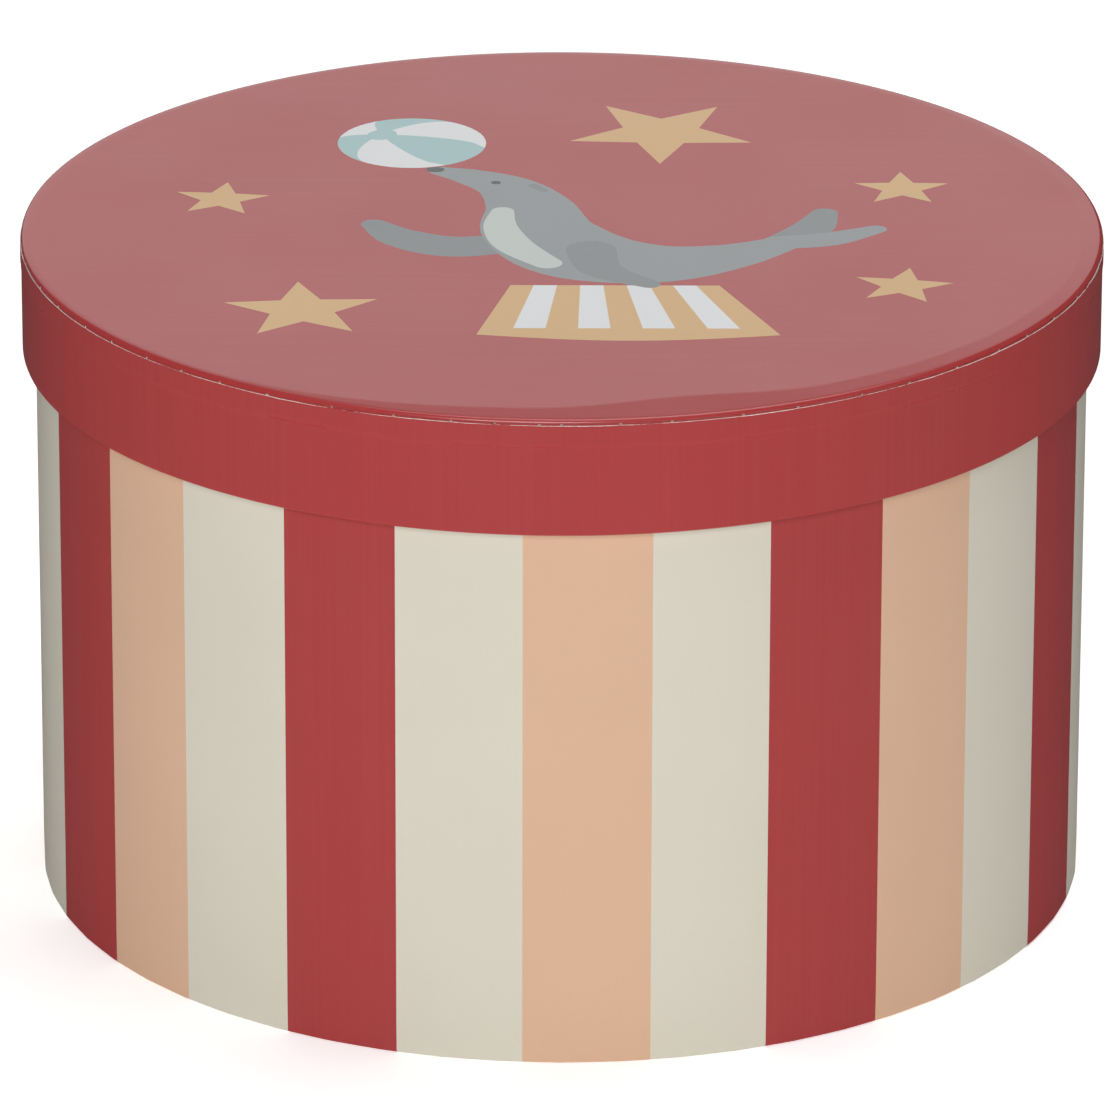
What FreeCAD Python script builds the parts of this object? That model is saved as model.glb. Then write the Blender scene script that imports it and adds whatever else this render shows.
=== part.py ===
"""Round hat box of paper-covered greyboard with a lift-off lid.

Row frame: millimetres, +Z up, origin at the centre of the base on the surface it stands on.
The front faces -Y. The glued seams of the bands and of their cover papers are at the back, near +Y.
"""

import FreeCAD, Part
import math
import os

from FreeCAD import Vector

# Overall sizes
overall_height = 188.0  # closed box, floor to lid top
body_diameter = 292.0  # over the striped wrap
lid_height = 33.0  # lid alone, top face to rim edge

# Sheet materials
wall_board = 1.8  # greyboard of the two bands
disc_board = 2.0  # greyboard of the two discs
wrap_paper = 0.2  # printed cover paper with its glue
lining_paper = 0.2  # plain paper laminated on the inner face of every board
tape_thickness = 0.2  # gummed kraft tape

# Fit of the lid on the body
lid_clearance = 1.3  # air between the body wrap and the rim paper's turn-in, per side

# Edges
shoulder_radius = 1.2  # rolled upper corner of the lid band
edge_radius = 0.6  # eased outer corners of the other board edges

# Cover paper margins
rim_turn_in = 15.0  # rim paper turned up inside the lid
top_turn_in = 16.0  # body wrap turned down inside the mouth
base_turn_under = 12.0  # body wrap turned under the base
tab_depth = 6.5  # slit margin of the lid's top paper, folded down on the band
rim_paper_drop = 0.1  # rim paper's raw upper edge, below the end of the shoulder
tab_step = 0.8  # height over which the rim paper steps off the tab ends
lid_tab_count = 60
base_tab_count = 56
tab_slit = 0.7  # width of the slit between two tabs
base_paper_inset = 4.0  # base paper's edge, in from the outside of the body
base_paper_step = 0.6  # width over which the base paper steps off the turned tabs

# Seams
band_joint_gap = 0.5  # butt joint of each rolled board band
joint_tape_width = 30.0
paper_overlap = 12.0  # lap of each cover paper where its ends meet
body_seam_deg = 90.0
lid_seam_deg = 72.0

# Glue fillets in the inner corners
lid_glue_leg = 0.9
base_glue_leg = 2.2

# Cutters run past what they cut by this much
cut_over = 1.0

# Radii, from the body's outside inwards
body_out_r = body_diameter / 2
body_board_r = body_out_r - wrap_paper
body_board_in_r = body_board_r - wall_board
body_in_r = body_board_in_r - lining_paper

# Radii, from the body's outside outwards to the lid
lid_turn_in_r = body_out_r + lid_clearance
lid_in_r = lid_turn_in_r + wrap_paper
lid_board_in_r = lid_in_r + lining_paper
lid_board_r = lid_board_in_r + wall_board
lid_tab_r = lid_board_r + wrap_paper

# Heights of the lid's layers, from the top face down
lid_bottom_z = overall_height - lid_height
lid_disc_top_z = overall_height - wrap_paper
lid_disc_z = lid_disc_top_z - disc_board
lid_lining_z = lid_disc_z - lining_paper
shoulder_end_z = lid_disc_top_z - shoulder_radius
rim_paper_top_z = shoulder_end_z - rim_paper_drop
tab_end_z = shoulder_end_z - tab_depth
lid_band_z = lid_bottom_z + wrap_paper

# Heights of the body's layers, from the floor up
base_tab_z = wrap_paper
base_disc_z = base_tab_z + wrap_paper
base_lining_z = base_disc_z + disc_board
floor_z = base_lining_z + lining_paper
mouth_z = lid_lining_z
body_band_top_z = mouth_z - wrap_paper

# Radii under the base
base_tab_in_r = body_out_r - base_turn_under
base_paper_r = body_out_r - base_paper_inset


def point(r, z):
    return Vector(r, 0, z)


def shifted_line(a, b, distance):
    """The line a-b moved to its left by distance, as a point and a direction."""
    along = (b - a).normalize()
    left = Vector(-along.z, 0, along.x)
    return a + left * distance, along


def crossing(line_a, line_b):
    """Where two lines of the profile plane cross."""
    (p, u), (q, v) = line_a, line_b
    share = ((q.x - p.x) * v.z - (q.z - p.z) * v.x) / (u.x * v.z - u.z * v.x)
    return p + u * share


def shifted_path(corners, distance):
    """A polyline moved to its left by distance, with mitred corners."""
    lines = [shifted_line(a, b, distance) for a, b in zip(corners, corners[1:])]
    inner = [crossing(a, b) for a, b in zip(lines, lines[1:])]
    last_a, last_b = corners[-2], corners[-1]
    end = lines[-1][0] + lines[-1][1] * (last_b - last_a).Length
    return [lines[0][0]] + inner + [end]


def rounded_edges(corners, radii):
    """Edges along a polyline, with a tangent arc at each inner corner whose radius isn't 0."""
    edges = []
    start = corners[0]
    for before, corner, after, radius in zip(corners, corners[1:], corners[2:], radii):
        back = (before - corner).normalize()
        on = (after - corner).normalize()
        if radius <= 0:
            edges.append(Part.LineSegment(start, corner).toShape())
            start = corner
            continue
        half = back.getAngle(on) / 2
        reach = radius / math.tan(half)
        middle = (back + on).normalize()
        crown = corner + middle * (radius / math.sin(half) - radius)
        edges.append(Part.LineSegment(start, corner + back * reach).toShape())
        arc = Part.Arc(corner + back * reach, crown, corner + on * reach)
        edges.append(arc.toShape())
        start = corner + on * reach
    edges.append(Part.LineSegment(start, corners[-1]).toShape())
    return edges


def turned(edges, start_deg=0.0, sweep_deg=360.0):
    """A closed profile turned about the box's axis."""
    face = Part.Face(Part.Wire(Part.__sortEdges__(edges)))
    face.rotate(Vector(0, 0, 0), Vector(0, 0, 1), start_deg)
    return face.revolve(Vector(0, 0, 0), Vector(0, 0, 1), sweep_deg)


def ring(in_r, out_r, low_z, high_z, start_deg=0.0, sweep_deg=360.0):
    """A square-edged ring or disc, or a sector of one."""
    corners = [point(in_r, low_z), point(out_r, low_z), point(out_r, high_z), point(in_r, high_z)]
    edges = rounded_edges(corners + corners[:1], [0.0] * 3)
    return turned(edges, start_deg, sweep_deg)


def sheet_profile(corners, radii, thickness):
    """Closed edges of a sheet that lies on the left of a path of corners.

    radii are those of the path's inner corners, where the sheet's far side bends concentrically.
    A corner whose radius is None is a crease, sharp on both sides."""
    far = shifted_path(corners, thickness)
    near = rounded_edges(corners, [radius or 0.0 for radius in radii])
    back = rounded_edges(far, [0.0 if radius is None else radius + thickness for radius in radii])
    ends = [Part.LineSegment(corners[0], far[0]), Part.LineSegment(corners[-1], far[-1])]
    return near + back + [end.toShape() for end in ends]


def slits(count, in_r, out_r, low_z, high_z):
    """Narrow radial cutters between the tabs of a turned margin."""
    cutters = []
    for index in range(count):
        cutter = Part.makeBox(out_r - in_r, tab_slit, high_z - low_z, Vector(in_r, -tab_slit / 2, low_z))
        cutter.rotate(Vector(0, 0, 0), Vector(0, 0, 1), 360.0 * index / count)
        cutters.append(cutter)
    return Part.makeCompound(cutters)


def arc_degrees(length, radius):
    return math.degrees(length / radius)


def joint_tape(seam_deg, board_r, low_z, high_z):
    """Kraft tape across a band's butt joint, let into the board's skived outer face."""
    sweep = arc_degrees(joint_tape_width, board_r)
    return ring(board_r - tape_thickness, board_r, low_z, high_z, seam_deg - sweep / 2, sweep)


def rolled_band(profile, seam_deg, radius):
    """A strip of board rolled until its ends almost meet."""
    gap = arc_degrees(band_joint_gap, radius)
    return turned(profile, seam_deg + gap / 2, 360.0 - gap)


def overlap_flap(seam_deg, sheet_r, low_z, high_z):
    """The end of a cover paper that laps over its own start."""
    sweep = arc_degrees(paper_overlap, sheet_r)
    return ring(sheet_r, sheet_r + wrap_paper, low_z, high_z, seam_deg - sweep, sweep)


def glue_fillet(corner_r, corner_z, leg, up):
    """A bead of glue in the corner between a disc and a band, with a hollow face of two flats."""
    rise = leg if up else -leg
    slack = 1 - math.sqrt(0.5)
    corner = point(corner_r, corner_z)
    tip = point(corner_r, corner_z + rise)
    belly = point(corner_r - slack * leg, corner_z + slack * rise)
    toe = point(corner_r - leg, corner_z)
    return turned(rounded_edges([corner, tip, belly, toe, corner], [0.0] * 3))


# Body


def body_joint_tape():
    tape_low_z = base_disc_z + edge_radius
    tape_high_z = body_band_top_z - edge_radius
    return joint_tape(body_seam_deg, body_board_r, tape_low_z, tape_high_z)


def body_band():
    corners = [
        point(body_board_in_r, base_disc_z),
        point(body_board_r, base_disc_z),
        point(body_board_r, body_band_top_z),
        point(body_board_in_r, body_band_top_z),
        point(body_board_in_r, base_disc_z),
    ]
    profile = rounded_edges(corners, [edge_radius, edge_radius, 0.0])
    return rolled_band(profile, body_seam_deg, body_board_r).cut(body_joint_tape())


def body_lining():
    return ring(body_in_r, body_board_in_r, base_disc_z, body_band_top_z)


def base_board():
    return ring(0.0, body_in_r, base_disc_z, base_lining_z)


def base_lining():
    return ring(0.0, body_in_r, base_lining_z, floor_z)


def base_glue_bead():
    return glue_fillet(body_in_r, floor_z, base_glue_leg, up=True)


def body_wrap():
    corners = [
        point(body_in_r, mouth_z - top_turn_in),
        point(body_in_r, body_band_top_z),
        point(body_board_r, body_band_top_z),
        point(body_board_r, base_disc_z),
        point(base_tab_in_r, base_disc_z),
    ]
    sheet = turned(sheet_profile(corners, [0.0, edge_radius, edge_radius], wrap_paper))
    flap_low_z = base_disc_z + edge_radius
    flap_high_z = body_band_top_z - edge_radius
    sheet = sheet.fuse(overlap_flap(body_seam_deg, body_out_r, flap_low_z, flap_high_z))
    tab_root_r = body_board_r - edge_radius
    return sheet.cut(slits(base_tab_count, base_tab_in_r - cut_over, tab_root_r, -cut_over, base_disc_z))


def base_paper():
    step_z = base_disc_z - wrap_paper
    corners = [
        point(0.0, step_z),
        point(base_tab_in_r - base_paper_step, step_z),
        point(base_tab_in_r, 0.0),
        point(base_paper_r, 0.0),
        point(base_paper_r, wrap_paper),
        point(base_tab_in_r, wrap_paper),
        point(base_tab_in_r - base_paper_step, base_disc_z),
        point(0.0, base_disc_z),
        point(0.0, step_z),
    ]
    return turned(rounded_edges(corners, [0.0] * (len(corners) - 2)))


# Lid


def lid_joint_tape():
    return joint_tape(lid_seam_deg, lid_board_r, lid_band_z + edge_radius, shoulder_end_z)


def lid_band():
    corners = [
        point(lid_board_in_r, lid_band_z),
        point(lid_board_r, lid_band_z),
        point(lid_board_r, lid_disc_top_z),
        point(lid_board_in_r, lid_disc_top_z),
        point(lid_board_in_r, lid_band_z),
    ]
    profile = rounded_edges(corners, [edge_radius, shoulder_radius, 0.0])
    return rolled_band(profile, lid_seam_deg, lid_board_r).cut(lid_joint_tape())


def lid_band_lining():
    return ring(lid_in_r, lid_board_in_r, lid_band_z, lid_disc_top_z)


def lid_board():
    return ring(0.0, lid_in_r, lid_disc_z, lid_disc_top_z)


def lid_lining():
    return ring(0.0, lid_in_r, lid_lining_z, lid_disc_z)


def lid_glue_bead():
    return glue_fillet(lid_in_r, lid_lining_z, lid_glue_leg, up=False)


def lid_top_paper():
    rim_corner = point(lid_board_r, lid_disc_top_z)
    corners = [point(0.0, lid_disc_top_z), rim_corner, point(lid_board_r, tab_end_z)]
    paper = turned(sheet_profile(corners, [shoulder_radius], wrap_paper))
    slit_in_r = lid_board_r - cut_over
    slit_out_r = lid_tab_r + cut_over
    return paper.cut(slits(lid_tab_count, slit_in_r, slit_out_r, tab_end_z - cut_over, shoulder_end_z))


def lid_rim_paper():
    corners = [
        point(lid_tab_r, rim_paper_top_z),
        point(lid_tab_r, tab_end_z),
        point(lid_board_r, tab_end_z - tab_step),
        point(lid_board_r, lid_band_z),
        point(lid_in_r, lid_band_z),
        point(lid_in_r, lid_bottom_z + rim_turn_in),
    ]
    radii = [None, None, edge_radius, 0.0]
    sheet = turned(sheet_profile(corners, radii, wrap_paper))
    flap_r = lid_tab_r + wrap_paper
    upper = overlap_flap(lid_seam_deg, flap_r, tab_end_z, rim_paper_top_z)
    lower = overlap_flap(lid_seam_deg, lid_tab_r, lid_band_z + edge_radius, tab_end_z)
    return sheet.fuse(lower).fuse(upper)


PIECES = {
    "body_band": body_band,
    "body_joint_tape": body_joint_tape,
    "body_lining": body_lining,
    "body_wrap": body_wrap,
    "base_board": base_board,
    "base_lining": base_lining,
    "base_glue_bead": base_glue_bead,
    "base_paper": base_paper,
    "lid_band": lid_band,
    "lid_joint_tape": lid_joint_tape,
    "lid_band_lining": lid_band_lining,
    "lid_board": lid_board,
    "lid_lining": lid_lining,
    "lid_glue_bead": lid_glue_bead,
    "lid_top_paper": lid_top_paper,
    "lid_rim_paper": lid_rim_paper,
}


def main():
    os.makedirs("parts", exist_ok=True)
    for name, make in PIECES.items():
        shape = make()
        print(name, len(shape.Solids), "solid(s)", shape.isValid(), round(shape.Volume / 1000.0, 2), "cm3")
        shape.exportStep(os.path.join("parts", name + ".step"))


main()
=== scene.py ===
"""Looks of a round hat box: paper-covered greyboard with a printed lid that lifts off.

Metres, +Z up, the box standing on z = 0 with its front towards -Y.
Angles round the box are in degrees from the front, growing towards +X, so the back is at 180.
"""

import math
import random

import bpy
from mathutils import Euler, Matrix, Vector, noise
from mathutils.geometry import delaunay_2d_cdt


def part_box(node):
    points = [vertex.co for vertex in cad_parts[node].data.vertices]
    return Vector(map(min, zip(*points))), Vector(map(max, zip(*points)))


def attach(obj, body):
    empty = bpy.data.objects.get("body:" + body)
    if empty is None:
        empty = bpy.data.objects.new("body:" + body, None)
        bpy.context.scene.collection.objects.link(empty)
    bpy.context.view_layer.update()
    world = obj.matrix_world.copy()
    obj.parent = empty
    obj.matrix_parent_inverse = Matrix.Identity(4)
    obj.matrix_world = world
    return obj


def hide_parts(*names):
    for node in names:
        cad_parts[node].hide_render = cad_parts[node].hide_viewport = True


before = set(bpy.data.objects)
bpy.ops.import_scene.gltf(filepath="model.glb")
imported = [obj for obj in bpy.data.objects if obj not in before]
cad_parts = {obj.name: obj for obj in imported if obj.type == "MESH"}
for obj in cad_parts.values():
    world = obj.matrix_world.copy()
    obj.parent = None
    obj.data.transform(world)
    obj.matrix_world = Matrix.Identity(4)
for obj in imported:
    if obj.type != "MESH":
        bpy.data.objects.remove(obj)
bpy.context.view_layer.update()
bpy.ops.object.select_all(action="DESELECT")

MM = 0.001
PAPER = 0.2 * MM
WELD = 0.001 * MM

# Places taken from the frame
WRAP_LOW, WRAP_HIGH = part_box("body_wrap")
BOARD_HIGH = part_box("base_board")[1]
FLOOR_PAPER_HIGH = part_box("base_lining")[1]
LINING_LOW, LINING_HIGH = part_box("body_lining")
COVER_LOW, COVER_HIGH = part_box("base_paper")
TOP_LOW, TOP_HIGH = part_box("lid_top_paper")
RIM_LOW, RIM_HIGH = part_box("lid_rim_paper")
LID_BOARD_LOW, LID_BOARD_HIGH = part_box("lid_board")
LID_LINING_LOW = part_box("lid_lining")[0]
LID_BAND_LOW, LID_BAND_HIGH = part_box("lid_band")

# Margins and bends of the papers
MOUTH_TURN_IN = 16 * MM
BASE_TURN_UNDER = 12 * MM
RIM_TURN_IN = 15 * MM
BOARD_EDGE_BEND = 0.8 * MM
FOLD_BEND = 0.2 * MM
SHOULDER_BEND = 1.1 * MM
SLIT = 0.7 * MM

# Columns of faces round the box. The wrap has a whole number of them for each of its tabs.
BODY_COLUMNS = 224
WRAP_COLUMNS = 448
LID_COLUMNS = 480
BASE_TABS = 56

# Stripes: how many, the run of colours that they repeat, and the angle where the run begins
STRIPES = 27
STRIPE_RUN = ("red", "peach", "cream", "red", "cream", "peach", "cream")
FIRST_STRIPE = -70.7

# Seams, where a paper's end laps over its start
BODY_SEAM = 180.0
LID_SEAM = 162.0
LAP = 12 * MM

# How far the rolled boards wave in and out, and how straight the wrap folds under between two slits
WALL_WAVE = 0.05 * MM
FOLD_STRAIGHTNESS = 0.6


# Tools


def place(radius, height, angle=0.0):
    """The point at a radius and height, at an angle from the front."""
    turn = math.radians(angle)
    return Vector((radius * math.sin(turn), -radius * math.cos(turn), height))


def angle_of(point):
    """A point's angle from the front, from -180 to 180."""
    return math.degrees(math.atan2(point.x, -point.y))


def radius_of(point):
    return math.hypot(point.x, point.y)


def angle_past(angle, start):
    """How far an angle lies past a start, from 0 to 360."""
    return (angle - start) % 360.0


def ease(share):
    """0 to 1 with soft ends."""
    share = min(max(share, 0.0), 1.0)
    return share * share * (3.0 - 2.0 * share)


def only(piece):
    """Selects one piece and nothing else."""
    bpy.ops.object.select_all(action="DESELECT")
    piece.select_set(True)
    bpy.context.view_layer.objects.active = piece


def apply_modifier(piece, kind, **settings):
    only(piece)
    modifier = piece.modifiers.new(kind.title(), kind)
    for key, value in settings.items():
        setattr(modifier, key, value)
    bpy.ops.object.modifier_apply(modifier=modifier.name)


def bent_path(corners, bends, steps=6):
    """(radius, height) points along corners, with an arc of the given bend at each inner corner."""
    corners = [Vector(corner) for corner in corners]
    points = [corners[0]]
    for before, corner, after, bend in zip(corners, corners[1:], corners[2:], bends):
        back = (before - corner).normalized()
        on = (after - corner).normalized()
        half = back.angle(on) / 2
        middle = corner + (back + on).normalized() * (bend / math.sin(half))
        first = corner + back * (bend / math.tan(half)) - middle
        last = corner + on * (bend / math.tan(half)) - middle
        for step in range(steps + 1):
            points.append(middle + first.lerp(last, step / steps).normalized() * bend)
    points.append(corners[-1])
    return points


def divided(points, longest):
    """The same path with no run longer than a given length."""
    finer = [points[0]]
    for before, after in zip(points, points[1:]):
        parts = max(1, math.ceil((after - before).length / longest))
        finer += [before.lerp(after, part / parts) for part in range(1, parts + 1)]
    return finer


def turned(name, profile, columns, start=0.0, inside=False):
    """A sheet turned about the box's axis from a profile of (radius, height) points.

    One vertex is drawn out along the profile, and the line is spun all the way round.
    With inside, the showing face looks inwards."""
    bpy.ops.mesh.primitive_plane_add(size=PAPER)
    piece = bpy.context.object
    piece.name = name
    bpy.ops.object.mode_set(mode="EDIT")
    bpy.ops.mesh.merge(type="CENTER")
    spots = [place(radius, height, start) for radius, height in profile]
    bpy.ops.transform.translate(value=spots[0])
    for before, after in zip(spots, spots[1:]):
        bpy.ops.mesh.extrude_region_move(TRANSFORM_OT_translate={"value": after - before})
    bpy.ops.mesh.select_all(action="SELECT")
    bpy.ops.mesh.spin(steps=columns, angle=math.tau, center=(0, 0, 0), axis=(0, 0, 1))
    bpy.ops.mesh.select_all(action="SELECT")
    bpy.ops.mesh.remove_doubles(threshold=WELD)
    bpy.ops.mesh.normals_make_consistent(inside=inside)
    bpy.ops.mesh.select_all(action="DESELECT")
    bpy.ops.object.mode_set(mode="OBJECT")
    return piece


def show_face(piece, upwards):
    """Turns a flat sheet so that its showing face looks up or down."""
    if (sum(face.normal.z * face.area for face in piece.data.polygons) > 0) == upwards:
        return
    only(piece)
    bpy.ops.object.mode_set(mode="EDIT")
    bpy.ops.mesh.select_all(action="SELECT")
    bpy.ops.mesh.flip_normals()
    bpy.ops.mesh.select_all(action="DESELECT")
    bpy.ops.object.mode_set(mode="OBJECT")


def reshape(piece, rule):
    """Moves each vertex to the radius and height that a rule gives for its radius, height and angle."""
    for vertex in piece.data.vertices:
        angle = angle_of(vertex.co)
        radius, height = rule(radius_of(vertex.co), vertex.co.z, angle)
        vertex.co = place(radius, height, angle)


def cut_slits(piece, lies_on_slit):
    """Opens a narrow slit along each edge of which both ends pass a test."""
    only(piece)
    mesh = piece.data
    for edge in mesh.edges:
        edge.select = all(lies_on_slit(mesh.vertices[index].co) for index in edge.vertices)
    bpy.ops.object.mode_set(mode="EDIT")
    bpy.ops.mesh.select_mode(type="EDGE")
    bpy.ops.mesh.bevel(offset=SLIT / 2, segments=1, affect="EDGES")
    bpy.ops.mesh.delete(type="FACE")
    bpy.ops.mesh.select_mode(type="VERT")
    bpy.ops.object.mode_set(mode="OBJECT")


def raise_lap(piece, seam, radius, low, high):
    """Raises a strip by one paper thickness where the paper's end laps over its start."""
    only(piece)
    width = math.degrees(LAP / radius)
    mesh = piece.data
    bpy.ops.object.mode_set(mode="EDIT")
    bpy.ops.mesh.select_mode(type="FACE")
    bpy.ops.mesh.select_all(action="DESELECT")
    bpy.ops.object.mode_set(mode="OBJECT")
    for face in mesh.polygons:
        spot = face.center
        in_lap = angle_past(angle_of(spot), seam - width) < width
        outside = abs(radius_of(spot) - radius) < 2 * PAPER and face.normal.dot(spot) > 0
        face.select = in_lap and outside and low < spot.z < high
    bpy.ops.object.mode_set(mode="EDIT")
    bpy.ops.mesh.extrude_region_shrink_fatten(TRANSFORM_OT_shrink_fatten={"value": PAPER})
    bpy.ops.mesh.select_mode(type="VERT")
    bpy.ops.mesh.select_all(action="DESELECT")
    bpy.ops.object.mode_set(mode="OBJECT")


def give_thickness(piece, thickness=PAPER, inked_edges=False):
    """Thickens a sheet behind its showing face.

    Its back takes the last material, and so do its cut edges, unless they are inked."""
    count = len(piece.data.materials)
    apply_modifier(
        piece,
        "SOLIDIFY",
        thickness=thickness,
        offset=-1.0,
        material_offset=count,
        material_offset_rim=0 if inked_edges else count,
    )


def smooth(piece, limit=35.0):
    only(piece)
    bpy.ops.object.shade_smooth_by_angle(angle=math.radians(limit))


def finish_piece(piece, body, slot, *nodes):
    smooth(piece)
    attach(piece, body)
    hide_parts(*nodes)


# Materials


class Finish:
    """A material and the few node moves that the finishes below share."""

    def __init__(self, name):
        self.material = bpy.data.materials.new(name)
        self.material.use_nodes = True
        self.nodes = self.material.node_tree.nodes
        self.links = self.material.node_tree.links
        self.shader = self.nodes["Principled BSDF"]
        self.coords = self.nodes.new("ShaderNodeTexCoord").outputs["Object"]

    def add(self, kind, **values):
        node = self.nodes.new(kind)
        for key, value in values.items():
            if hasattr(node, key):
                setattr(node, key, value)
            else:
                node.inputs[key.replace("_", " ").title()].default_value = value
        return node

    def attribute(self, name):
        """A number stored on the piece's vertices."""
        return self.add("ShaderNodeAttribute", attribute_name=name).outputs["Fac"]

    def join(self, output, target):
        self.links.new(output, target)

    def stretched(self, scale):
        """Object coordinates multiplied along each axis."""
        mapping = self.add("ShaderNodeMapping")
        mapping.inputs["Scale"].default_value = scale
        self.join(self.coords, mapping.inputs["Vector"])
        return mapping.outputs["Vector"]

    def noise(self, scale, detail=2.0, distortion=0.0):
        """Cloudy noise of 1 cycle per unit after stretching, as a value about 0.5."""
        node = self.add("ShaderNodeTexNoise", scale=1.0, detail=detail, distortion=distortion)
        self.join(self.stretched(scale), node.inputs["Vector"])
        return node.outputs["Fac"]

    def spread(self, value, low, high, out_low=0.0, out_high=1.0):
        """A value mapped from one range onto another, held at the ends."""
        node = self.add("ShaderNodeMapRange")
        for key, number in (("From Min", low), ("From Max", high), ("To Min", out_low), ("To Max", out_high)):
            node.inputs[key].default_value = number
        self.join(value, node.inputs["Value"])
        return node.outputs["Result"]

    def maths(self, operation, first, second):
        node = self.add("ShaderNodeMath", operation=operation)
        for socket, value in zip(node.inputs, (first, second)):
            if isinstance(value, (int, float)):
                socket.default_value = value
            else:
                self.join(value, socket)
        return node.outputs["Value"]

    def weighed(self, *parts):
        """The sum of two values, each given with its weight."""
        first, second = [self.maths("MULTIPLY", value, weight) for value, weight in parts]
        return self.maths("ADD", first, second)

    def mixed(self, share, first, second):
        """Two colours mixed by a share. A colour is three numbers or another node's output."""
        node = self.add("ShaderNodeMix", data_type="RGBA")
        self.join(share, node.inputs[0])
        for socket, colour in zip((node.inputs[6], node.inputs[7]), (first, second)):
            if isinstance(colour, tuple):
                socket.default_value = (*colour, 1.0)
            else:
                self.join(colour, socket)
        return node.outputs[2]

    def specks(self, cells, size, chance):
        """1 inside small round specks scattered one to a cell, in some of the cells."""
        node = self.add("ShaderNodeTexVoronoi", scale=1.0)
        self.join(self.stretched((cells, cells, cells)), node.inputs["Vector"])
        parts = self.add("ShaderNodeSeparateColor")
        self.join(node.outputs["Color"], parts.inputs["Color"])
        near = self.spread(node.outputs["Distance"], size, size * 0.5)
        some = self.maths("LESS_THAN", parts.outputs["Red"], chance)
        return self.maths("MULTIPLY", near, some)

    def bump(self, height, strength, distance):
        """A fine relief. Its node is returned, so that a broad slope can be laid under it."""
        node = self.add("ShaderNodeBump", strength=strength, distance=distance)
        self.join(height, node.inputs["Height"])
        self.join(node.outputs["Normal"], self.shader.inputs["Normal"])
        return node

    def sloped(self, relief, drop):
        """Lays a slope under a relief, from a value that says how far the surface has dropped, in metres."""
        slope = self.add("ShaderNodeBump", strength=1.0, distance=1.0, invert=True)
        self.join(drop, slope.inputs["Height"])
        self.join(slope.outputs["Normal"], relief.inputs["Normal"])

    def colour(self, output):
        self.join(output, self.shader.inputs["Base Color"])

    def roughness(self, output):
        self.join(output, self.shader.inputs["Roughness"])


def shade(colour, factor):
    """A colour made darker or lighter by a factor."""
    return tuple(min(channel * factor, 1.0) for channel in colour)


def towards(colour, other, share):
    """A colour taken a share of the way to another."""
    return tuple(a + (b - a) * share for a, b in zip(colour, other))


RAW_PAPER = (0.86, 0.83, 0.78)
DUST = (0.80, 0.74, 0.70)


def printed_paper(name, ink, streaks, gloss=(0.33, 0.38), worn_edge=False, pressed_edge=False):
    """Printed cover paper with a satin varnish.

    The ink is faintly cloudy and streaked the way the sheet ran through the press. There are a few
    specks of dust and worn spots, and a fine press grain. With worn_edge, ink has chipped off where
    the piece's raw_edge attribute is high. With pressed_edge, the paper is lit as if it sloped down
    by the piece's edge_drop attribute."""
    finish = Finish(name)
    cloud = finish.noise((20, 20, 20), detail=2.0)
    streak = finish.noise(streaks, detail=3.0)
    fine = finish.noise((2600, 2600, 2600), detail=1.0)
    base = finish.mixed(finish.spread(cloud, 0.3, 0.7), shade(ink, 0.985), shade(ink, 1.015))
    base = finish.mixed(finish.spread(streak, 0.40, 0.75, 0.0, 0.14), base, towards(ink, RAW_PAPER, 0.07))
    base = finish.mixed(finish.spread(fine, 0.45, 0.8, 0.0, 0.25), base, shade(ink, 0.90))
    base = finish.mixed(finish.specks(46, 0.013, 0.30), base, towards(ink, DUST, 0.45))
    base = finish.mixed(finish.specks(31, 0.009, 0.20), base, shade(ink, 0.65))
    if worn_edge:
        chips = finish.noise((700, 700, 1400), detail=2.0)
        long_chips = finish.noise((60, 60, 60), detail=2.0)
        loss = finish.weighed((long_chips, 0.9), (chips, 0.5))
        reach = finish.maths("ADD", finish.attribute("raw_edge"), loss)
        base = finish.mixed(finish.spread(reach, 1.50, 1.64, 0.0, 0.95), base, RAW_PAPER)
    finish.colour(base)
    finish.roughness(finish.spread(finish.noise((24, 24, 24), detail=2.0), 0.3, 0.7, *gloss))
    grain = finish.bump(finish.weighed((streak, 0.3), (fine, 0.7)), 0.15, 0.03 * MM)
    if pressed_edge:
        finish.sloped(grain, finish.attribute("edge_drop"))
    finish.shader.inputs["IOR"].default_value = 1.5
    return finish.material


def plain_paper(name, colour):
    """Uncoated paper: matt, faintly cloudy, with short fibres."""
    finish = Finish(name)
    cloud = finish.noise((25, 25, 25), detail=3.0)
    fibres = finish.noise((700, 240, 1500), detail=3.0, distortion=1.5)
    base = finish.mixed(finish.spread(cloud, 0.3, 0.7), shade(colour, 0.97), shade(colour, 1.02))
    base = finish.mixed(finish.spread(fibres, 0.55, 0.85, 0.0, 0.4), base, shade(colour, 0.88))
    base = finish.mixed(finish.specks(60, 0.02, 0.4), base, shade(colour, 0.6))
    finish.colour(base)
    finish.roughness(finish.spread(cloud, 0.3, 0.7, 0.82, 0.92))
    finish.bump(fibres, 0.3, 0.05 * MM)
    return finish.material


def greyboard(name):
    """Recycled board: grey-brown pulp with dark and pale flecks."""
    finish = Finish(name)
    pulp = finish.noise((140, 140, 140), detail=5.0)
    flecks = finish.noise((1300, 500, 1100), detail=2.0, distortion=1.0)
    base = finish.mixed(finish.spread(pulp, 0.3, 0.7), (0.30, 0.27, 0.23), (0.42, 0.38, 0.33))
    base = finish.mixed(finish.spread(flecks, 0.6, 0.75), base, (0.58, 0.55, 0.49))
    base = finish.mixed(finish.specks(220, 0.12, 0.4), base, (0.12, 0.10, 0.09))
    finish.colour(base)
    finish.roughness(finish.spread(pulp, 0.3, 0.7, 0.85, 0.95))
    finish.bump(flecks, 0.5, 0.08 * MM)
    return finish.material


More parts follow.
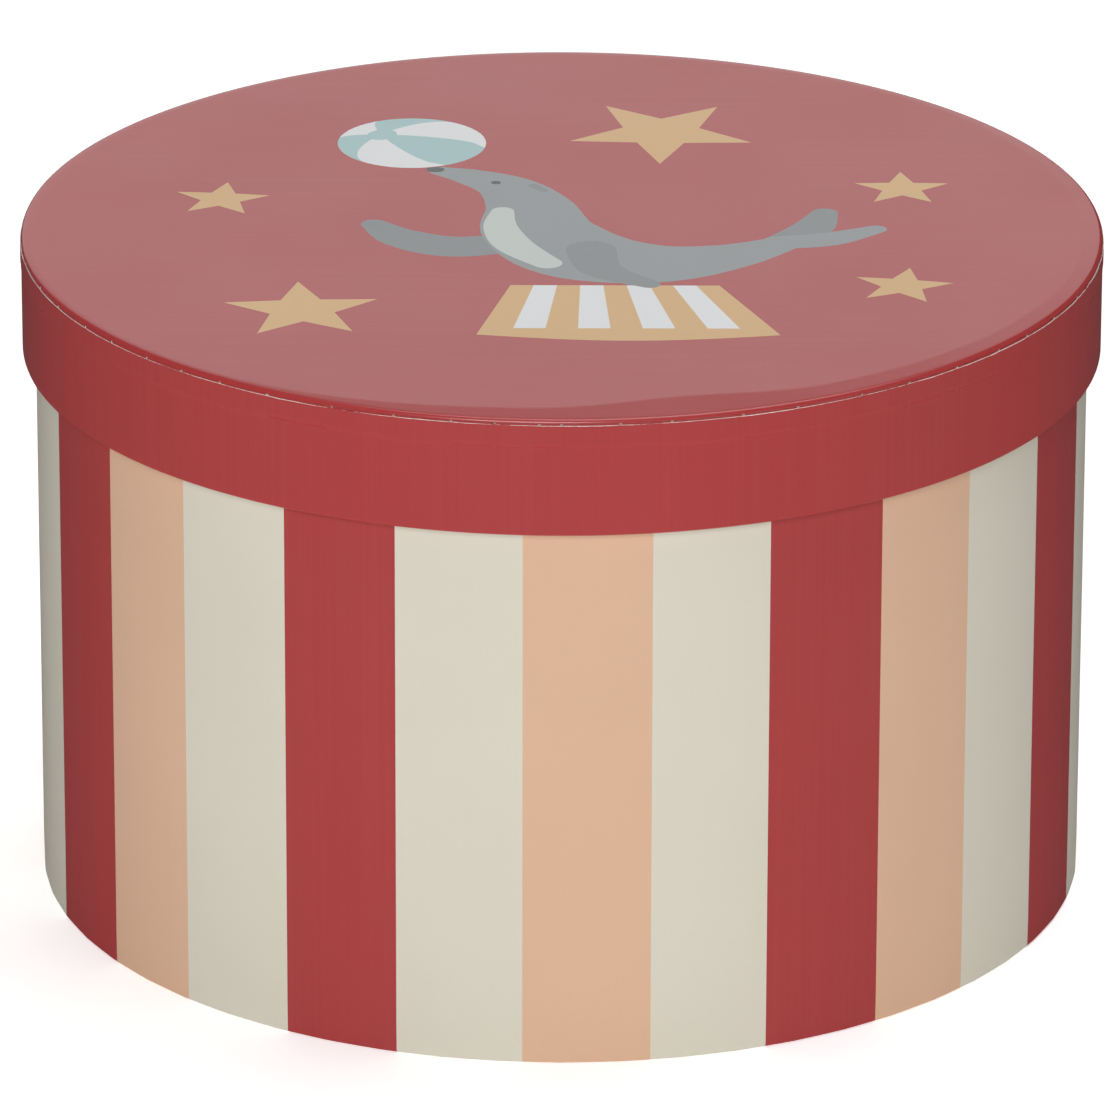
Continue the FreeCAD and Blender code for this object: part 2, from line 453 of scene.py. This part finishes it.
def kraft_tape(name):
    """Gummed brown paper tape with fibres along its length."""
    finish = Finish(name)
    fibres = finish.noise((500, 500, 45), detail=4.0)
    cloud = finish.noise((60, 60, 60), detail=2.0)
    base = finish.mixed(finish.spread(fibres, 0.35, 0.7), (0.33, 0.20, 0.10), (0.46, 0.31, 0.18))
    base = finish.mixed(finish.spread(cloud, 0.4, 0.7, 0.0, 0.3), base, (0.52, 0.38, 0.25))
    finish.colour(base)
    finish.roughness(finish.spread(cloud, 0.3, 0.7, 0.55, 0.7))
    finish.bump(fibres, 0.4, 0.05 * MM)
    return finish.material


def dried_glue(name):
    """White glue dried half clear, with cloudy patches and tiny bubbles."""
    finish = Finish(name)
    cloud = finish.noise((160, 160, 160), detail=3.0)
    base = finish.mixed(finish.spread(cloud, 0.35, 0.7), (0.70, 0.66, 0.55), (0.84, 0.82, 0.76))
    base = finish.mixed(finish.specks(500, 0.15, 0.3), base, (0.92, 0.91, 0.88))
    finish.colour(base)
    finish.roughness(finish.spread(cloud, 0.3, 0.7, 0.22, 0.40))
    finish.bump(cloud, 0.4, 0.2 * MM)
    finish.shader.inputs["Subsurface Weight"].default_value = 0.2
    finish.shader.inputs["Subsurface Radius"].default_value = (0.002, 0.002, 0.0015)
    return finish.material


RED = (0.420, 0.041, 0.042)
CREAM = (0.68, 0.64, 0.535)
PEACH = (0.71, 0.450, 0.298)

# Which way the print's streaks run, and how glossy the lid's top is
DOWN_THE_WALL = (900, 900, 7)
ACROSS_THE_TOP = (8, 900, 900)
TOP_GLOSS = (0.22, 0.26)

STRIPE_FINISHES = {
    "red": printed_paper("stripe_red", RED, DOWN_THE_WALL),
    "peach": printed_paper("stripe_peach", PEACH, DOWN_THE_WALL),
    "cream": printed_paper("stripe_cream", CREAM, DOWN_THE_WALL),
}
RIM_RED = printed_paper("rim_red", RED, DOWN_THE_WALL, gloss=(0.29, 0.33), worn_edge=True)
TOP_RED = printed_paper("top_red", RED, ACROSS_THE_TOP, gloss=TOP_GLOSS, pressed_edge=True)
INKS = {
    "ochre": (0.68, 0.410, 0.165),
    "white": (0.78, 0.79, 0.80),
    "aqua": (0.36, 0.56, 0.57),
    "grey": (0.262, 0.287, 0.298),
    "dark grey": (0.212, 0.235, 0.244),
    "pale grey": (0.55, 0.60, 0.57),
    "charcoal": (0.035, 0.038, 0.042),
}
INK_FINISHES = {
    name: printed_paper("ink_" + name.replace(" ", "_"), ink, ACROSS_THE_TOP, gloss=TOP_GLOSS)
    for name, ink in INKS.items()
}
RAW_EDGE = plain_paper("raw_paper_edge", RAW_PAPER)
LINING = plain_paper("lining_paper", (0.80, 0.785, 0.745))
BASE_COVER = plain_paper("base_paper", (0.72, 0.70, 0.65))
GREYBOARD = greyboard("greyboard")
TAPE = kraft_tape("kraft_tape")
GLUE = dried_glue("dried_glue")


# Body


def wall_unevenness(radius, angle, height):
    """How far the rolled board stands off a true cylinder."""
    around = place(radius * 34, height * 5, angle)
    return WALL_WAVE * noise.noise(around)


def fold_flats(angle):
    """How far the fold between two slits lies inside a true circle, as a share of the radius.

    The board behind keeps the fold from going quite straight."""
    tab = 360.0 / BASE_TABS
    off_middle = (angle_past(angle, FIRST_STRIPE) % tab) - tab / 2
    straight = 1.0 - math.cos(math.radians(tab / 2)) / math.cos(math.radians(off_middle))
    return FOLD_STRAIGHTNESS * straight


def body_wrap_sheet():
    """The striped paper: inside the mouth, over the lip, down the wall and under the base."""
    in_r = BOARD_HIGH.x - PAPER
    out_r = WRAP_HIGH.x
    low, high = WRAP_LOW.z, WRAP_HIGH.z
    corners = [(in_r, high - MOUTH_TURN_IN), (in_r, high), (out_r, high), (out_r, low)]
    corners.append((out_r - BASE_TURN_UNDER, low))
    path = bent_path(corners, [FOLD_BEND, BOARD_EDGE_BEND, BOARD_EDGE_BEND])
    piece = turned("body_wrap_sheet", divided(path, longest=8 * MM), WRAP_COLUMNS, FIRST_STRIPE)
    tab = 360.0 / BASE_TABS
    fold_height = 4 * MM

    def on_slit(point):
        tabs_past = angle_past(angle_of(point), FIRST_STRIPE) / tab
        on_line = abs(tabs_past - round(tabs_past)) < 0.05
        return on_line and abs(point.z - low) < WELD and radius_of(point) < out_r - BOARD_EDGE_BEND / 2

    cut_slits(piece, on_slit)
    raise_lap(piece, BODY_SEAM, out_r, low + BOARD_EDGE_BEND, high - BOARD_EDGE_BEND)

    def settle(radius, height, angle):
        outside = ease((radius - in_r - PAPER) / MM)
        moved = radius + outside * wall_unevenness(out_r, angle, height)
        folded = 1.0 - ease((height - low) / fold_height)
        return moved * (1.0 - outside * folded * fold_flats(angle)), height

    reshape(piece, settle)
    colours = list(STRIPE_FINISHES)
    for finish in STRIPE_FINISHES.values():
        piece.data.materials.append(finish)
    piece.data.materials.append(RAW_EDGE)
    # Counted both ways from the first stripe, so the run breaks at the back, where the paper laps
    for face in piece.data.polygons:
        stripe = math.floor((angle_of(face.center) - FIRST_STRIPE) * STRIPES / 360.0)
        face.material_index = colours.index(STRIPE_RUN[stripe % len(STRIPE_RUN)])
    give_thickness(piece)
    finish_piece(piece, "box", "striped_paper", "body_wrap")


def body_lining_sheet():
    """White paper inside the rolled board, parted at the board's butt joint."""
    in_r = BOARD_HIGH.x
    path = divided([Vector((in_r, LINING_LOW.z)), Vector((in_r, LINING_HIGH.z))], longest=12 * MM)
    piece = turned("body_lining_sheet", path, BODY_COLUMNS, BODY_SEAM, inside=True)
    opposite = BODY_SEAM - 180.0
    cut_slits(piece, lambda point: abs(angle_past(angle_of(point), opposite) - 180.0) < 0.1)
    piece.data.materials.append(LINING)
    give_thickness(piece, LINING_HIGH.x - in_r)
    finish_piece(piece, "box", "lining_paper", "body_lining")


def floor_paper():
    """White paper on the base board, a little buckled where it was pressed down."""
    top = FLOOR_PAPER_HIGH.z
    buckle = 0.04 * MM
    path = divided([Vector((0.0, top)), Vector((BOARD_HIGH.x, top))], longest=9 * MM)
    piece = turned("base_lining_sheet", path, BODY_COLUMNS)
    reshape(piece, lambda r, z, angle: (r, z + buckle * noise.noise(place(r * 30, 0.0, angle))))
    piece.data.materials.append(LINING)
    show_face(piece, upwards=True)
    give_thickness(piece, top - BOARD_HIGH.z)
    finish_piece(piece, "box", "lining_paper", "base_lining")


def base_cover_sheet():
    """Plain paper under the base, pressed over the ends of the turned-under tabs."""
    step_r = WRAP_HIGH.x - BASE_TURN_UNDER
    tab_z, rest_z = COVER_LOW.z + PAPER, COVER_LOW.z
    step = 0.6 * MM
    corners = [(0.0, tab_z), (step_r - step, tab_z), (step_r, rest_z), (COVER_HIGH.x, rest_z)]
    path = divided([Vector(corner) for corner in corners], longest=9 * MM)
    piece = turned("base_cover_sheet", path, BODY_COLUMNS)
    piece.data.materials.append(BASE_COVER)
    show_face(piece, upwards=False)
    give_thickness(piece)
    finish_piece(piece, "box", "base_paper", "base_paper")


def glue_line(name, corner, leg, rise, body, node):
    """An uneven bead of glue in an inner corner, with a hollow face."""
    belly = leg * (1 - math.sqrt(0.5))
    radius, height = corner
    toe = (radius - leg, height)
    hollow = (radius - belly, height + rise * belly)
    tip = (radius, height + rise * leg)
    piece = turned(name, [corner, toe, hollow, tip, corner], BODY_COLUMNS)

    def run(r, z, angle):
        slow = 0.45 * noise.noise(place(3.2, height * 40, angle))
        quick = 0.12 * noise.noise(place(14, 3, angle))
        swell = 0.75 + slow + quick
        return radius + (r - radius) * swell, height + (z - height) * swell

    reshape(piece, run)
    piece.data.materials.append(GLUE)
    finish_piece(piece, body, "glue", node)


# Lid


def tab_plan():
    """The lid paper's slit tabs, slit by hand and so uneven.

    Each has the column where it begins, how far its end strays up or down and how far it stands out."""
    chance = random.Random(11)
    plan = []
    column = 0
    while column < LID_COLUMNS:
        stray = chance.uniform(-0.7, 0.7) * MM
        stand = chance.uniform(0.0, 0.06) * MM
        plan.append((column, stray, stand))
        column += chance.choice((6, 7, 8, 8, 9, 10))
    return plan


TAB_PLAN = tab_plan()
COLUMN = 360.0 / LID_COLUMNS


def tab_at(angle):
    """The plan's entry for an angle, and how far the angle is from the nearest slit, in degrees."""
    column = angle_past(angle, 0.0) / COLUMN
    index = max(i for i, tab in enumerate(TAB_PLAN) if tab[0] <= column + 0.01)
    begin = TAB_PLAN[index][0]
    end = TAB_PLAN[index + 1][0] if index + 1 < len(TAB_PLAN) else LID_COLUMNS
    return TAB_PLAN[index], min(column - begin, end - column) * COLUMN


def smooth_run(knots, steps=7):
    """Points on a smooth line through knots, each with any number of coordinates."""
    padded = [knots[0]] + list(knots) + [knots[-1]]

    def between(a, b, c, d, t):
        straight = 2 * b + (c - a) * t
        return 0.5 * (straight + (2 * a - 5 * b + 4 * c - d) * t**2 + (3 * b - a - 3 * c + d) * t**3)

    run = []
    for four_knots in zip(padded, padded[1:], padded[2:], padded[3:]):
        for step in range(steps):
            run.append(tuple(between(*values, step / steps) for values in zip(*four_knots)))
    return run + [tuple(knots[-1])]


def limb(*knots):
    """Outline of a rounded limb. Knots are (x, y, half width) along its middle."""
    run = smooth_run(knots)
    cap_steps = 8
    left, right = [], []
    for index, (x, y, half) in enumerate(run):
        before, after = run[max(index - 1, 0)], run[min(index + 1, len(run) - 1)]
        along = Vector((after[0] - before[0], after[1] - before[1])).normalized()
        across = Vector((-along.y, along.x)) * half
        left.append(Vector((x, y)) + across)
        right.append(Vector((x, y)) - across)
    caps = []
    for (x, y, _), edge in ((run[-1], left[-1]), (run[0], right[0])):
        spoke = edge - Vector((x, y))
        turns = [Matrix.Rotation(-math.pi * step / cap_steps, 2) for step in range(1, cap_steps)]
        caps.append([Vector((x, y)) + turn @ spoke for turn in turns])
    return left + caps[0] + right[::-1] + caps[1]


def round_spot(x, y, radius, flatten=1.0):
    """A round or flattened outline."""
    sides = 48
    turns = [math.tau * side / sides for side in range(sides)]
    return [Vector((x + radius * math.cos(turn), y + radius * flatten * math.sin(turn))) for turn in turns]


def star(x, y, radius, tilt):
    """A plain five-pointed star, one point up at no tilt."""
    inner = 0.42 * radius
    points = []
    for corner in range(10):
        turn = math.radians(90 + tilt + 36 * corner)
        reach = inner if corner % 2 else radius
        points.append(Vector((x + reach * math.cos(turn), y + reach * math.sin(turn))))
    return points


BALL_X, BALL_Y, BALL_R = -42.5, 69.5, 21.0
BALL_POLE = Vector((-0.42, 0.34, 0.84)).normalized()


def ball_point(longitude, colatitude):
    """Where a point on the ball is printed, in degrees round its pole and radians down from it.

    A point behind the ball moves up its meridian to the ball's edge."""
    side = BALL_POLE.orthogonal().normalized()
    other = BALL_POLE.cross(side)
    turn = math.radians(longitude)
    spoke = side * math.cos(turn) + other * math.sin(turn)
    limb_colatitude = math.atan2(BALL_POLE.z, -spoke.z)
    reach = min(colatitude, limb_colatitude)
    spot = BALL_POLE * math.cos(reach) + spoke * math.sin(reach)
    return Vector((BALL_X + BALL_R * spot.x, BALL_Y + BALL_R * spot.y))


def ball_panel(first, last):
    """One panel of the ball: out along a meridian, along the limb and back to the pole."""
    steps = 10
    out = [ball_point(first, math.pi * step / (2 * steps)) for step in range(steps)]
    limb_arc = [ball_point(first + (last - first) * step / steps, math.pi) for step in range(steps + 1)]
    back = [ball_point(last, math.pi * step / (2 * steps)) for step in range(steps - 1, 0, -1)]
    return out + limb_arc + back


def tub_prints():
    """A plain striped tub: a pale trapezium, ochre staves, and an ochre hoop with a round lower edge."""
    top_y, hoop_y, low_y = -46.5, -80.0, -85.0
    top_left, top_right, low_left, low_right = -14.0, 43.0, -23.0, 59.0

    def edge(share, y):
        drop = (top_y - y) / (top_y - low_y)
        left = top_left + (low_left - top_left) * drop
        right = top_right + (low_right - top_right) * drop
        return Vector((left + (right - left) * share, y))

    whole = [edge(0, top_y), edge(1, top_y), edge(1, hoop_y), edge(0, hoop_y)]
    prints = [(whole, "white")]
    staves = 5
    for stave in range(staves):
        first = stave * 2 / (2 * staves - 1)
        last = first + 1 / (2 * staves - 1)
        outline = [edge(first, top_y), edge(last, top_y), edge(last, hoop_y), edge(first, hoop_y)]
        prints.append((outline, "ochre"))
    bulge, bulge_steps = 4.5, 16
    hoop = [edge(0, hoop_y), edge(0, low_y)]
    for step in range(1, bulge_steps):
        share = step / bulge_steps
        hoop.append(edge(share, low_y) + Vector((0.0, -bulge * math.sin(math.pi * share))))
    prints.append((hoop + [edge(1, low_y), edge(1, hoop_y)], "ochre"))
    return prints


def lid_prints():
    """Every printed shape on the lid with its ink, in millimetres on the lid's face, lowest first."""
    prints = [
        (star(-95.0, 22.5, 13.7, -6.0), "ochre"),
        (star(-70.5, -66.0, 21.9, 4.0), "ochre"),
        (star(28.0, 79.5, 27.0, 179.0), "ochre"),
        (star(95.0, 32.5, 13.7, 0.0), "ochre"),
        (star(93.0, -46.0, 14.1, -10.0), "ochre"),
    ]
    prints += tub_prints()
    prints.append((round_spot(BALL_X, BALL_Y, BALL_R), "white"))
    prints += [(ball_panel(first, first + 60.0), "aqua") for first in (10.0, 130.0, 250.0)]
    prints.append(([ball_point(15.0 * step, math.radians(13)) for step in range(24)], "aqua"))
    prints += [
        (limb((-12, -12, 7), (-30, -16, 8), (-44, -9, 6.8), (-52, 2, 3.8)), "dark grey"),
        (limb((60, -12, 5), (69, -1, 6), (73, 12, 3.8)), "dark grey"),
        (limb((60, -12, 5), (74, -9, 5.2), (87, -1, 3)), "grey"),
        (
            limb(
                (63, -11, 4.8),
                (46, -23, 9.5),
                (26, -29, 15),
                (6, -23, 18.5),
                (-6, -4, 16.5),
                (-9, 17, 12.5),
                (-15, 32, 9.2),
                (-25, 41, 6.2),
                (-34, 46, 3.4),
            ),
            "grey",
        ),
        (limb((-16.5, 13, 3.2), (-17, 0, 4.8), (-13, -15, 5.6), (-4, -29, 4.2)), "pale grey"),
        (limb((8, -18, 7), (11, -34, 6), (24, -45.5, 3.0)), "dark grey"),
        (limb((-8, 34, 1.5), (-5, 30, 1.2)), "dark grey"),
        (round_spot(-18.5, 36.5, 1.4), "charcoal"),
        (round_spot(-35.6, 47.2, 2.6, 0.85), "charcoal"),
    ]
    return prints


# The part of the lid's top that holds the print, and the slope of the pressed edge round it
PRINT_R = 120 * MM
PRESSED_SLOPE = math.tan(math.radians(3.5))


def printed_disc(name, height):
    """The flat middle of the lid's top paper, divided along the outlines of what is printed on it."""
    rim = [place(PRINT_R, 0.0, COLUMN * column).xy for column in range(LID_COLUMNS)]
    prints = lid_prints()
    outlines = [rim] + [[point * MM for point in outline] for outline, _ in prints]
    points, faces = [], []
    for outline in outlines:
        area = sum(a.cross(b) for a, b in zip(outline, outline[1:] + outline[:1]))
        ordered = outline if area > 0 else outline[::-1]
        faces.append(list(range(len(points), len(points) + len(ordered))))
        points += ordered
    corners, _, triangles, _, _, sources = delaunay_2d_cdt(points, [], faces, 0, 1e-7)
    mesh = bpy.data.meshes.new(name)
    mesh.from_pydata([(corner.x, corner.y, height) for corner in corners], [], triangles)
    piece = bpy.data.objects.new(name, mesh)
    bpy.context.scene.collection.objects.link(piece)
    inks = list(INK_FINISHES)
    mesh.materials.append(TOP_RED)
    for finish in INK_FINISHES.values():
        mesh.materials.append(finish)
    mesh.materials.append(RAW_EDGE)
    for face, source in zip(mesh.polygons, sources):
        top_print = max(source)
        face.material_index = 0 if top_print == 0 else 1 + inks.index(prints[top_print - 1][1])
    return piece


def lid_top_sheet():
    """The printed top paper: flat, rolled over the shoulder and slit into tabs.

    Its pressed edge is a shaded slope, because a real one would bring the board through the paper."""
    out_r, top, low = TOP_HIGH.x, TOP_HIGH.z, TOP_LOW.z
    path = bent_path([(PRINT_R, top), (out_r, top), (out_r, low)], [SHOULDER_BEND], steps=9)
    flat = divided(path[:2], longest=1.1 * MM)
    shoulder = divided(path[1:], longest=2.0 * MM)
    ring = turned("lid_top_ring", flat + shoulder[1:], LID_COLUMNS)
    ring.data.materials.append(TOP_RED)
    flat_end = out_r - SHOULDER_BEND
    slit_columns = {tab[0] for tab in TAB_PLAN}

    def on_slit(point):
        column = angle_past(angle_of(point), 0.0) / COLUMN
        on_line = abs(column - round(column)) < 0.05 and round(column) % LID_COLUMNS in slit_columns
        return on_line and radius_of(point) > out_r - WELD and point.z < top - SHOULDER_BEND + WELD

    cut_slits(ring, on_slit)

    def edge_drop(point):
        """How far the pressed edge slopes down: wide at the front and right, narrow elsewhere, uneven."""
        if point.z <= top - SHOULDER_BEND:
            return 0.0
        angle = angle_of(point)
        begins = ease((angle + 40.0) / 45.0)
        narrows = 1.0 - 0.6 * ease(angle / 90.0)
        ends = ease((150.0 - angle) / 50.0)
        dent = ease(1.0 - abs(angle - 14.0) / 16.0)
        width = 1.2 + 7.5 * (begins * narrows * ends) + 0.5 * noise.noise(place(1.3, 0.0, angle))
        width += 5.0 * dent
        past = radius_of(point) - (flat_end - width * MM)
        return max(past, 0.0) * PRESSED_SLOPE

    drop = ring.data.attributes.new("edge_drop", "FLOAT", "POINT")
    drop.data.foreach_set("value", [edge_drop(vertex.co) for vertex in ring.data.vertices])
    piece = printed_disc("lid_top_sheet", top)
    only(piece)
    ring.select_set(True)
    bpy.ops.object.join()
    bpy.ops.object.mode_set(mode="EDIT")
    bpy.ops.mesh.select_all(action="SELECT")
    bpy.ops.mesh.remove_doubles(threshold=WELD)
    bpy.ops.mesh.normals_make_consistent(inside=False)
    bpy.ops.mesh.select_all(action="DESELECT")
    bpy.ops.object.mode_set(mode="OBJECT")
    # A little thin, so that its back stays clear of the board
    give_thickness(piece, 0.9 * PAPER)
    finish_piece(piece, "lid", "printed_top_paper", "lid_top_paper")


def lid_rim_strip():
    """The red strip round the rim: a raw upper edge, the tabs showing through, and a turned-in lower edge."""
    wall_r = RIM_HIGH.x - PAPER
    in_r = LID_BOARD_HIGH.x - PAPER
    top, low, tab_end = RIM_HIGH.z, RIM_LOW.z, TOP_LOW.z
    raw_width = 0.5 * MM
    worn_depth = 1.2 * MM
    tab_step = 1.1 * MM
    corners = [(wall_r, top), (wall_r, low), (in_r, low), (in_r, low + RIM_TURN_IN)]
    path = bent_path(corners, [BOARD_EDGE_BEND, FOLD_BEND])
    upper = [Vector((wall_r, top)), Vector((wall_r, top - raw_width / 2)), Vector((wall_r, top - raw_width))]
    middle = divided([upper[-1], Vector((wall_r, tab_end - 3 * MM))], longest=0.45 * MM)
    lower = divided([middle[-1]] + path[1:], longest=3.5 * MM)
    piece = turned("lid_rim_strip", upper + middle[1:] + lower[1:], LID_COLUMNS)

    def drape(radius, height, angle):
        if radius < wall_r - BOARD_EDGE_BEND:
            return radius, height
        (_, stray, stand), off_slit = tab_at(angle)
        over_tab = ease((height - (tab_end + stray)) / tab_step)
        bridge = 0.55 + 0.45 * ease(off_slit / 0.9)
        outward = over_tab * (PAPER * bridge + stand * ease(off_slit / 1.5))
        outward += wall_unevenness(wall_r, angle, height) * ease((height - low) / (3 * MM))
        near_top = ease((height - (top - worn_depth)) / worn_depth)
        ragged = 0.16 * noise.noise(place(3.0, 0.0, angle)) + 0.07 * noise.noise(place(26.0, 0.0, angle))
        return radius + outward, height + near_top * (ragged - 0.05) * MM

    raw_edge = [ease(1.0 - (top - vertex.co.z) / raw_width) for vertex in piece.data.vertices]
    reshape(piece, drape)
    attribute = piece.data.attributes.new("raw_edge", "FLOAT", "POINT")
    attribute.data.foreach_set("value", raw_edge)
    raise_lap(piece, LID_SEAM, wall_r + PAPER / 2, low + BOARD_EDGE_BEND, top + MM)
    piece.data.materials.append(RIM_RED)
    piece.data.materials.append(RAW_EDGE)
    give_thickness(piece, inked_edges=True)
    finish_piece(piece, "lid", "red_paper", "lid_rim_paper")


def lid_lining_sheets():
    """White paper under the lid's disc and inside its band."""
    under = LID_LINING_LOW.z
    path = divided([Vector((0.0, under)), Vector((LID_BOARD_HIGH.x, under))], longest=9 * MM)
    disc = turned("lid_lining_sheet", path, BODY_COLUMNS)
    show_face(disc, upwards=False)
    disc.data.materials.append(LINING)
    give_thickness(disc, LID_BOARD_LOW.z - under)
    finish_piece(disc, "lid", "lining_paper", "lid_lining")

    in_r = LID_BOARD_HIGH.x
    path = divided([Vector((in_r, LID_BAND_LOW.z)), Vector((in_r, LID_BAND_HIGH.z))], longest=8 * MM)
    band = turned("lid_band_lining_sheet", path, BODY_COLUMNS, LID_SEAM, inside=True)
    band.data.materials.append(LINING)
    give_thickness(band)
    finish_piece(band, "lid", "lining_paper", "lid_band_lining")


def dress_hidden_boards():
    """The boards and joint tapes keep their own shapes and take their finishes."""
    finishes = {
        "body_band": GREYBOARD,
        "base_board": GREYBOARD,
        "lid_band": GREYBOARD,
        "lid_board": GREYBOARD,
        "body_joint_tape": TAPE,
        "lid_joint_tape": TAPE,
    }
    for node, finish in finishes.items():
        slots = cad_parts[node].data.materials
        slots.clear()
        slots.append(finish)


# Studio


def floor():
    """A wide pale floor, a hair below the box."""
    spot = (0, 0, -0.02 * MM)
    bpy.ops.mesh.primitive_circle_add(vertices=96, radius=9.0, fill_type="NGON", location=spot)
    piece = bpy.context.object
    piece.name = "floor"
    finish = Finish("floor")
    cloud = finish.noise((1.5, 1.5, 1.5), detail=2.0)
    finish.colour(finish.mixed(cloud, (0.90, 0.90, 0.90), (0.93, 0.93, 0.93)))
    finish.shader.inputs["Roughness"].default_value = 0.9
    finish.shader.inputs["Specular IOR Level"].default_value = 0.1
    finish.shader.inputs["Emission Color"].default_value = (1.0, 1.0, 1.0, 1.0)
    finish.shader.inputs["Emission Strength"].default_value = 0.50
    piece.data.materials.append(finish.material)
    piece.visible_glossy = False


def softbox(name, spot, aim, width, height, power):
    """A flat oblong light at a spot, turned towards an aim."""
    bpy.ops.object.light_add(type="AREA", location=spot)
    light = bpy.context.object
    light.name = name
    light.rotation_euler = (Vector(aim) - Vector(spot)).to_track_quat("-Z", "Y").to_euler()
    light.data.shape = "RECTANGLE"
    light.data.size = width
    light.data.size_y = height
    light.data.energy = power


def surroundings():
    """A dim room with one wide bright card behind the box. The camera sees plain white past the floor."""
    world = bpy.data.worlds.new("studio")
    bpy.context.scene.world = world
    world.use_nodes = True
    nodes, links = world.node_tree.nodes, world.node_tree.links
    background = nodes["Background"]
    parts = nodes.new("ShaderNodeSeparateXYZ")
    links.new(nodes.new("ShaderNodeTexCoord").outputs["Generated"], parts.inputs["Vector"])
    room, card_light = 0.06, 0.98
    brightness = None
    # The card lies between these values of the view's direction. Each edge goes from dark to bright.
    card_edges = (
        ("X", -0.60, -0.45),
        ("X", 0.22, 0.12),
        ("Y", 0.50, 0.70),
        ("Z", -0.02, 0.10),
        ("Z", 0.52, 0.43),
    )
    for axis, dark, bright in card_edges:
        side = nodes.new("ShaderNodeMapRange")
        side.interpolation_type = "SMOOTHSTEP"
        side.inputs["From Min"].default_value = dark
        side.inputs["From Max"].default_value = bright
        links.new(parts.outputs[axis], side.inputs["Value"])
        if brightness is None:
            brightness = side.outputs["Result"]
            continue
        both = nodes.new("ShaderNodeMath")
        both.operation = "MULTIPLY"
        links.new(brightness, both.inputs[0])
        links.new(side.outputs["Result"], both.inputs[1])
        brightness = both.outputs["Value"]
    card = nodes.new("ShaderNodeMapRange")
    card.inputs["To Min"].default_value = room
    card.inputs["To Max"].default_value = card_light
    links.new(brightness, card.inputs["Value"])
    lit = nodes.new("ShaderNodeMath")
    lit.operation = "MAXIMUM"
    links.new(nodes.new("ShaderNodeLightPath").outputs["Is Camera Ray"], lit.inputs[0])
    links.new(card.outputs["Result"], lit.inputs[1])
    background.inputs["Color"].default_value = (1.0, 1.0, 1.0, 1.0)
    links.new(lit.outputs["Value"], background.inputs["Strength"])


def lights():
    """A large softbox in front and one overhead."""
    softbox("key_softbox", (-0.35, -2.8, 1.5), (0.0, 0.0, 0.08), 1.4, 1.2, 48.0)
    softbox("top_softbox", (0.3, 0.4, 2.4), (0.0, 0.0, 0.1), 1.8, 1.8, 33.0)


def camera():
    """A long lens from the front and a little above, with a slight roll."""
    elevation = math.radians(21.7)
    roll = math.radians(0.15)
    distance = 3.00
    aim = Vector((-0.0003, 0.0, 0.0888))
    spot = aim + distance * Vector((0.0, -math.cos(elevation), math.sin(elevation)))
    bpy.ops.object.camera_add(location=spot)
    view = bpy.context.object
    tilt = Euler((math.pi / 2 - elevation, 0.0, 0.0)).to_matrix()
    view.rotation_euler = (tilt @ Matrix.Rotation(roll, 3, "Z")).to_euler()
    view.data.sensor_width = 36.0
    view.data.lens = 344.0
    view.data.clip_end = 50.0
    bpy.context.scene.camera = view


camera()
lights()
surroundings()
floor()

body_wrap_sheet()
body_lining_sheet()
floor_paper()
base_cover_sheet()
glue_line("base_glue_line", (BOARD_HIGH.x, FLOOR_PAPER_HIGH.z), 2.2 * MM, 1.0, "box", "base_glue_bead")
lid_top_sheet()
lid_rim_strip()
lid_lining_sheets()
glue_line("lid_glue_line", (LID_BOARD_HIGH.x, LID_LINING_LOW.z), 0.9 * MM, -1.0, "lid", "lid_glue_bead")
dress_hidden_boards()

bpy.context.scene.view_settings.view_transform = "Standard"
bpy.ops.object.select_all(action="DESELECT")
